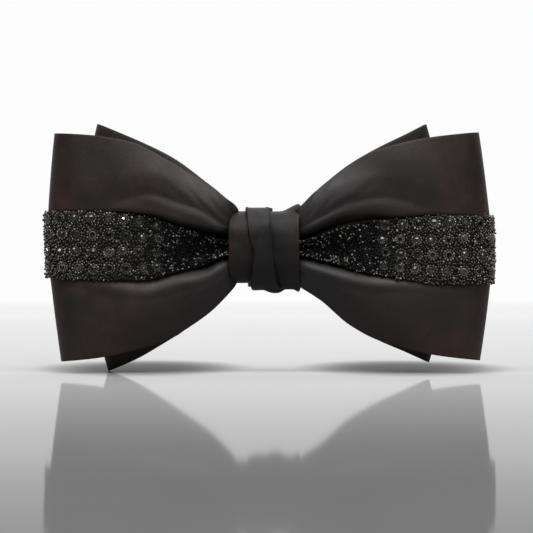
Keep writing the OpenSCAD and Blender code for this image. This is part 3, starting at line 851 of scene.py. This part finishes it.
class Section:
    """A section across the knot, drawn in y and z and walked from the middle of its back over its top."""
    STEPS = 480
    SOFTENING = 26

    def __init__(self, front, back, half_h, round_front, round_back, crown=0.0):
        corners = [(back - round_back, half_h - round_back, round_back),
                   (front + round_front, half_h - round_front, round_front)]
        corners += [(y, -up, r) for y, up, r in corners[::-1]]
        outline = [[back, KNOT_Z]]
        for k, (y, up, r) in enumerate(corners):
            for turn in np.radians(90 * k + np.linspace(0, 90, 13)):
                outline.append([y + r * math.cos(turn), KNOT_Z + up + r * math.sin(turn)])
        outline = np.array(outline + [[back, KNOT_Z]])
        length = np.concatenate([[0], np.cumsum(np.linalg.norm(np.diff(outline, axis=0), axis=1))])
        walk = np.linspace(0, length[-1], self.STEPS + 1)
        ring = np.stack([np.interp(walk, length, outline[:, k]) for k in (0, 1)], axis=1)[:-1]
        for _ in range(self.SOFTENING):
            ring = 0.5 * ring + 0.25 * (np.roll(ring, 1, axis=0) + np.roll(ring, -1, axis=0))
        share = np.clip(1 - ((ring[:, 1] - KNOT_Z) / half_h) ** 2, 0, 1)
        ring[:, 0] -= crown * share * ease((-ring[:, 0] + (front + back) / 2) / 2)
        tangent = np.roll(ring, -1, axis=0) - np.roll(ring, 1, axis=0)
        out = np.stack([tangent[:, 1], -tangent[:, 0]], axis=1)
        out /= np.linalg.norm(out, axis=1)[:, None]
        self.points = np.vstack([ring, ring[:1]])
        self.out = np.vstack([out, out[:1]])
        self.q = np.linspace(0, 1, len(self.points))

    def at(self, q, lift=0.0):
        q = np.mod(q, 1.0)
        place = [np.interp(q, self.q, self.points[:, k]) for k in (0, 1)]
        away = [np.interp(q, self.q, self.out[:, k]) for k in (0, 1)]
        return place[0] + away[0] * lift, place[1] + away[1] * lift

    def front_q(self, z):
        """Share of the way round at which the front face is at a height."""
        front = (self.q > 0.2) & (self.q < 0.8)
        heights = self.points[front, 1]
        order = np.argsort(heights)
        return float(np.interp(z, heights[order], self.q[front][order]))


def wrap_places(section, q, left, right, lift, count):
    """A strip round the knot: left and right give its edges, lift how far it stands off the section."""
    w = np.linspace(0, 1, count)
    places = np.zeros((len(q), count, 3))
    for i, share in enumerate(q):
        x = left(share) + (right(share) - left(share)) * w
        y, z = section.at(share, lift(share, w, x))
        places[i, :, 0] = KNOT_X + x
        places[i, :, 1] = y
        places[i, :, 2] = z
    return places


# The wrap and the strap narrow to these half heights, less than the CAD's straight ones
WRAP_HALF_H = 9.0
STRAP_HALF_H = 10.0
WRAP_T = 0.95
STRAP_T = 0.9
FLAP_T = 0.85
wrap_section = Section(WRAP_FRONT + 1.3, WRAP_BACK - 0.5, WRAP_HALF_H, 6.2, 1.4, 0.8)
strap_section = Section(STRAP_FRONT + 1.3, STRAP_BACK - 0.5, STRAP_HALF_H, 6.8, 2.4, 0.8)
# Where the front turns over at the top and under at the bottom, as shares of the way round
q_top = wrap_section.front_q(KNOT_Z + 8.3)
q_low = wrap_section.front_q(KNOT_Z - 8.3)
knot_crumple = wobble(77, 5.0)


def bump_at(q, centre, width):
    away = np.abs(((q - centre) + 0.5) % 1.0 - 0.5)
    return np.exp(-(away / width) ** 2)


def wrap_left(q):
    return -WRAP_HALF_W + 1.4 * bump_at(q, q_top - 0.03, 0.06) + 0.9 * bump_at(q, q_low + 0.03, 0.06)


def wrap_right(q):
    return WRAP_HALF_W + 0.6 * bump_at(q, q_low + 0.01, 0.03) + 0.9 * bump_at(q, q_top - 0.005, 0.03)


def wrap_lift(q, w, x):
    facing = bump_at(q, 0.5, 0.2)
    pinch = -0.45 * facing * np.exp(-((x + 1.0) / 3.2) ** 2)
    rim = 0.22 * facing * ease((w - 0.9) / 0.1)
    flick = (1.9 * bump_at(q, q_top - 0.045, 0.045) * ease((w - 0.68) / 0.32) ** 1.3
             + 1.7 * bump_at(q, q_low + 0.045, 0.05) * ease((w - 0.52) / 0.2)
             + 0.6 * bump_at(q, q_low + 0.045, 0.03) * ease((w - 0.9) / 0.1))
    tuck = -0.35 * facing * ease((0.08 - w) / 0.08)
    folds = 0.10 * knot_crumple(x, q * 40) * facing
    return pinch + rim + flick + tuck + folds


around = np.linspace(0, 1, 161)
wrap_piece = sheet_piece(
    "knot_wrap_leather", wrap_places(wrap_section, around, wrap_left, wrap_right, wrap_lift, 61),
    knot_leather, WRAP_T, ["knot_wrap"], closed=True)


def front_keys(points):
    """An edge's x at heights on the front of the strap, by share of the way round."""
    return [[strap_section.front_q(z), x] for z, x in points]


def strap_edge(points, back):
    """An edge of the strap: front_keys of the points, and one x behind."""
    keys = front_keys(points)
    return line([[0, back], [keys[0][0] - 0.16, back]] + keys + [[keys[-1][0] + 0.16, back], [1, back]])


strap_left = strap_edge([(42.6, -4.85), (41.3, -4.4), (37.8, -4.1), (34.7, -3.5), (32.1, -2.7), (24, -1.2)],
                        -4.3)
strap_right = strap_edge([(42.6, 1.1), (37, 1.35), (30, 1.8), (24, 2.4)], 2.3)


def strap_lift(q, w, x):
    facing = bump_at(q, 0.5, 0.2)
    rim = 0.16 * ease((0.12 - w) / 0.12)
    folds = 0.05 * knot_crumple(x * 1.5 + 30, q * 60)
    flick = 0.4 * bump_at(q, q_top - 0.01, 0.02) * ease((0.2 - w) / 0.2)
    return facing * (-0.12 + rim + folds) + flick


strap_piece = sheet_piece(
    "knot_strap_leather", wrap_places(strap_section, around, strap_left, strap_right, strap_lift, 25),
    knot_leather, STRAP_T, ["knot_strap"], closed=True)


# The strap's loose end, folded over its first turn and curled under at the bottom
def flap_edge(points, tail):
    """An edge of the flap: front_keys of the points, then x at shares past the bottom."""
    keys = front_keys(points)
    return line([[q_top - 0.1, keys[0][1]]] + keys + [[q_low + more, x] for more, x in tail])


flap_left = flap_edge([(42, 0.4), (39.4, -0.45), (36.1, -1.4), (32.3, -2.3), (28.3, -2.8), (24, -3.45)],
                      [(0.03, -3.0), (0.06, -1.4), (0.1, 1.4)])
flap_right = flap_edge([(42, 1.25), (38.9, 1.7), (35.4, 1.85), (30.7, 2.2), (26.7, 2.9), (24, 3.6)],
                       [(0.02, 4.7), (0.04, 6.0), (0.06, 6.4), (0.08, 5.6), (0.1, 3.6)])


def flap_lift(q, w, x):
    facing = bump_at(q, 0.5, 0.24)
    off = 0.2 + 0.75 * ease((q - q_top - 0.02) / 0.08)
    curl = 0.28 * facing * ease((w - 0.8) / 0.2)
    lobe = bump_at(q, q_low + 0.045, 0.04) * (0.75 * ease((w - 0.3) / 0.3) - 1.5 * ease((w - 0.66) / 0.34))
    tuck = -0.7 * ease((q - q_low - 0.06) / 0.05)
    return off + curl + lobe + tuck + 0.05 * knot_crumple(x * 1.3 + 60, q * 50)


flap_walk = np.linspace(q_top - 0.03, q_low + 0.1, 97)
flap_piece = sheet_piece(
    "knot_strap_flap", wrap_places(strap_section, flap_walk, flap_left, flap_right, flap_lift, 31),
    knot_leather, FLAP_T, [])


def pad_places(half_w=5.9):
    """A closed, crowned pad as a sheet wound on itself: rings across its width that close at its ends."""
    section = Section(SHIFT_Y - 7.6, SHIFT_Y - 4.5, 7.2, 1.6, 1.2)
    q = np.linspace(0, 1, 65)
    w = np.linspace(-1, 1, 25)
    shrink = np.maximum((1 - np.abs(w) ** 3.2) ** 0.45, 0.001)
    middle_y = SHIFT_Y - 5.6
    y, z = section.at(q)
    places = np.zeros((len(q), len(w), 3))
    places[:, :, 0] = KNOT_X + half_w * w
    places[:, :, 1] = middle_y + np.outer(y - middle_y, shrink)
    places[:, :, 2] = KNOT_Z + np.outer(z - KNOT_Z, shrink)
    return places


# Wadding under the front of the wrap, and the thread that pinches the bows
pad = sheet_mesh("knot_wadding_pad", pad_places(), wadding, closed=True)
cap = bmesh.new()
cap.from_mesh(pad.data)
bmesh.ops.remove_doubles(cap, verts=cap.verts, dist=3e-5)
bmesh.ops.recalc_face_normals(cap, faces=cap.faces)
cap.to_mesh(pad.data)
cap.free()
settle(pad, ["knot_padding"])


def tube(name, path, radius, finish):
    """A round wire or thread along a path in mm, its ends closed."""
    curve = bpy.data.curves.new(name + "_path", "CURVE")
    curve.dimensions = "3D"
    curve.bevel_depth = radius * MM
    curve.bevel_resolution = 2
    curve.use_fill_caps = True
    spline = curve.splines.new("POLY")
    spline.points.add(len(path) - 1)
    for point, place in zip(spline.points, path):
        point.co = (*(np.array(place) * MM), 1)
    holder = placed(name + "_path", curve)
    bpy.context.view_layer.update()
    mesh = bpy.data.meshes.new_from_object(holder.evaluated_get(bpy.context.evaluated_depsgraph_get()))
    bpy.data.objects.remove(holder)
    mesh.name = name
    paint(mesh, finish)
    mesh.shade_smooth()
    return placed(name, mesh)


THREAD_R = 0.2
THREAD_TURNS = 8
THREAD_SPAN = 11.4
thread_section = Section(SHIFT_Y - 4.05, SHIFT_Y + 3.5, 7.85, 0.8, 0.8)
walk = np.linspace(0, THREAD_TURNS, THREAD_TURNS * 48 + 1)
thread_y, thread_z = thread_section.at(walk)
thread_x = KNOT_X + (walk / THREAD_TURNS - 0.5) * THREAD_SPAN
thread = tube("waist_binding_thread", np.stack([thread_x, thread_y, thread_z], axis=1), THREAD_R, waxed_thread)
settle(thread, ["waist_thread"])


def make_stitch(bm):
    """One hand stitch: a short thread that dives at both ends."""
    bmesh.ops.create_uvsphere(bm, u_segments=10, v_segments=12, radius=1)
    bmesh.ops.scale(bm, vec=(0.2, 0.2, 1.0), verts=bm.verts)
    for v in bm.verts:
        v.co.x -= 0.35 * v.co.z ** 2


STITCHES = 5
STITCH_PITCH = 1.5
# Lays a stitch, made upright, across the strap
LAID = Matrix(((0, 0, 1), (1, 0, 0), (0, 1, 0))).to_4x4()
stitch_stamp = template(make_stitch)
stitches = []
for k in range(STITCHES):
    seat = Vector((KNOT_X - 1.0, STRAP_BACK + 0.12, CLIP_Z + STITCH_PITCH * (k - 2))) * MM
    tilt = Matrix.Rotation(math.radians(14 + 4 * ((k * 7) % 3)), 4, "Y")
    stitches.append((stitch_stamp, Matrix.Translation(seat) @ tilt @ LAID @ Matrix.Scale(MM, 4), 0.5))
stitch_piece = keep(stamp(stitches), "strap_stitch_threads", waxed_thread)
settle(stitch_piece, ["strap_stitches"])

# The collar clip: CAD steel with its finish, and real wire for the springs
for name, finish in (("clip_plate", plate_steel), ("hinge_pin_left", pin_steel),
                     ("hinge_pin_right", pin_steel), ("lever_left", lever_steel),
                     ("lever_right", lever_steel)):
    paint(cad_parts[name].data, finish)

HINGE_OUT = 8.5
HINGE_UP = 2.4
COIL_R = 1.05
COIL_TURNS = 10.5
WIRE_R = 0.25
LEG_Z = 2.75


def spring_path(side):
    """One leg on the plate, the coil round the pin, and one leg behind the lever's tab."""
    share = np.linspace(0, 1, round(COIL_TURNS * 16) + 1)
    angle = -math.pi / 2 + math.tau * COIL_TURNS * share
    coil = np.stack([HINGE_OUT + COIL_R * np.cos(angle), HINGE_UP + COIL_R * np.sin(angle),
                     LEG_Z * (2 * share - 1)], axis=1)
    plate_leg = [[HINGE_OUT + 4.0, WIRE_R + 0.1, -LEG_Z], [HINGE_OUT + 1.4, HINGE_UP - COIL_R - 0.25, -LEG_Z]]
    tab_leg = [[HINGE_OUT - 1.2, HINGE_UP + COIL_R + 0.02, LEG_Z], [6.4, HINGE_UP + COIL_R, LEG_Z],
               [4.6, 4.55, LEG_Z]]
    path = np.concatenate([plate_leg, coil, tab_leg]) * [side, 1, 1]
    return path + [KNOT_X, PLATE_BACK, CLIP_Z]


for side, word in ((LEFT, "left"), (RIGHT, "right")):
    wire = tube("spring_wire_" + word, spring_path(side), WIRE_R, spring_steel)
    hinge = np.array([KNOT_X + side * HINGE_OUT, PLATE_BACK + HINGE_UP, CLIP_Z]) * MM
    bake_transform(wire, "bow", "lever_" + word, start=tuple(hinge + [0, 0, -2.7 * MM]),
             end=tuple(hinge + [0, 0, 2.7 * MM]))
    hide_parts("spring_" + word)

# The studio: a large pale glossy table that melts into a white sweep, and a darker room in front

# The soft painted shadow under each wing is an ellipse painted on the table, in metres
PAINTED_SHADOW_X = (-0.035, 0.037)
PAINTED_SHADOW_Y = 0.026
PAINTED_SHADOW_HALF = (0.032, 0.056, 1)


def painted_table_shadow(tree, place):
    """1 on the open table, less inside either ellipse of painted shadow."""
    shade = []
    for x in PAINTED_SHADOW_X:
        moved = add(tree, "Mapping", {"Vector": place, "Location": (x, PAINTED_SHADOW_Y, 0), "Scale": PAINTED_SHADOW_HALF},
                    vector_type="TEXTURE").outputs[0]
        away = add(tree, "VectorMath", {0: moved, 1: moved}, operation="DOT_PRODUCT")
        shade.append(remap(tree, away.outputs["Value"], (0, 1), (0.26, 1), "SMOOTHSTEP"))
    return maths(tree, "MULTIPLY", *shade)


def table_finish():
    """Lacquer with painted shade that darkens it towards the viewer, and that glows white far off; only the
    camera sees its gloss, and the object sees a dimmer tone.
    """
    made, tree = material("glossy_pale_table")
    place = object_place(tree)
    y = add(tree, "SeparateXYZ", {0: place}).outputs["Y"]
    seen = add(tree, "LightPath").outputs["Is Camera Ray"]
    fade = remap(tree, y, (-0.36, 1.24), (0, 1))
    # The table's tone is painted shade: darker towards the viewer, where the light falls off
    tone = ramp(tree, fade, [(0.0, 0.139), (0.04, 0.153), (0.08, 0.198), (0.128, 0.28), (0.206, 0.43),
                             (0.264, 0.468), (0.4, 0.623), (0.556, 0.76), (0.65, 0.86)])
    dim = ramp(tree, fade, [(0.0, 0.06), (0.2, 0.3), (0.6, 0.5)])
    shown = add(tree, "Mix", {"Factor": seen, "A": dim, "B": tone}, data_type="RGBA")
    # The painted shadow darkens both the table's matt tone and its gloss
    shade = painted_table_shadow(tree, place)
    matt_tone = add(tree, "VectorMath", {0: shown.outputs["Result"], 1: shade}, operation="MULTIPLY")
    matt = add(tree, "BsdfDiffuse", {"Color": matt_tone.outputs[0]}).outputs[0]
    gloss = add(tree, "BsdfGlossy", {"Color": shade, "Roughness": 0.05}).outputs[0]
    polish = maths(tree, "MULTIPLY", remap(tree, y, (-0.36, -0.25), (0.12, 0.3)), seen)
    lacquer = add(tree, "MixShader", {0: polish, 1: matt, 2: gloss}).outputs[0]
    far = add(tree, "VectorMath", {0: place}, operation="LENGTH").outputs["Value"]
    sweep = remap(tree, far, (0.3, 1.35), (0, 1), "SMOOTHSTEP")
    glow = remap(tree, seen, (0, 1), (0.3, 0.98))
    paper = add(tree, "Emission", {"Color": (1, 1, 1, 1), "Strength": glow}).outputs[0]
    whole = add(tree, "MixShader", {0: sweep, 1: lacquer, 2: paper})
    add(tree, "OutputMaterial", {"Surface": whole.outputs[0]})
    return made


def studio_room():
    """White to the camera; to the object, dark in front and bright behind."""
    world = bpy.data.worlds.new("studio_room")
    world.use_nodes = True
    tree = world.node_tree
    tree.nodes.clear()
    way = add(tree, "TexCoord").outputs["Generated"]
    y = add(tree, "SeparateXYZ", {0: way}).outputs["Y"]
    room = ramp(tree, remap(tree, y, (-1, 1), (0, 1)), [(0.0, 0.04), (0.3, 0.06), (0.5, 0.16), (0.7, 0.5),
                                                        (0.85, 1.0)])
    seen = add(tree, "LightPath").outputs["Is Camera Ray"]
    white = add(tree, "Background", {"Color": (0.98, 0.98, 0.98, 1), "Strength": 1.0})
    glow = add(tree, "Background", {"Color": room, "Strength": 1.0})
    mixed = add(tree, "MixShader", {0: seen, 1: glow.outputs[0], 2: white.outputs[0]})
    add(tree, "OutputWorld", {"Surface": mixed.outputs[0]})
    return world


TABLE_HALF = 12
floor_mesh = bmesh.new()
bmesh.ops.create_grid(floor_mesh, x_segments=1, y_segments=1, size=TABLE_HALF)
keep(floor_mesh, "studio_table", table_finish(), smooth=False)
scene.world = studio_room()


def lamp(name, place, target, size, power):
    """A soft rectangular lamp that the camera does not see: metres and watts."""
    light = bpy.data.lights.new(name, "AREA")
    light.shape = "RECTANGLE"
    light.size, light.size_y = size
    light.energy = power
    made = placed(name, light)
    made.location = place
    made.rotation_euler = (Vector(target) - Vector(place)).to_track_quat("-Z", "Y").to_euler()
    made.visible_camera = False


KNOT_MIDDLE = (0, 0, 0.033)
lamp("overhead_softbox", (0, -0.22, 0.6), KNOT_MIDDLE, (0.7, 0.4), 4.5)
lamp("rear_softbox", (0, 0.6, 0.7), (0, 0.45, 0), (1.2, 0.5), 3.1)
lamp("bead_spark", (0.05, -0.6, 0.45), KNOT_MIDDLE, (0.04, 0.04), 0.8)

# A long lens, level with the knot
camera_data = bpy.data.cameras.new("studio_camera")
camera_data.lens = 150
camera_data.sensor_width = 36
camera_data.clip_start = 0.01
camera = placed("studio_camera", camera_data)
camera.location = (-0.0009, -0.5871, 0.0279)
camera.rotation_euler = (math.pi / 2, 0, 0)
scene.camera = camera
scene.view_settings.view_transform = "Standard"
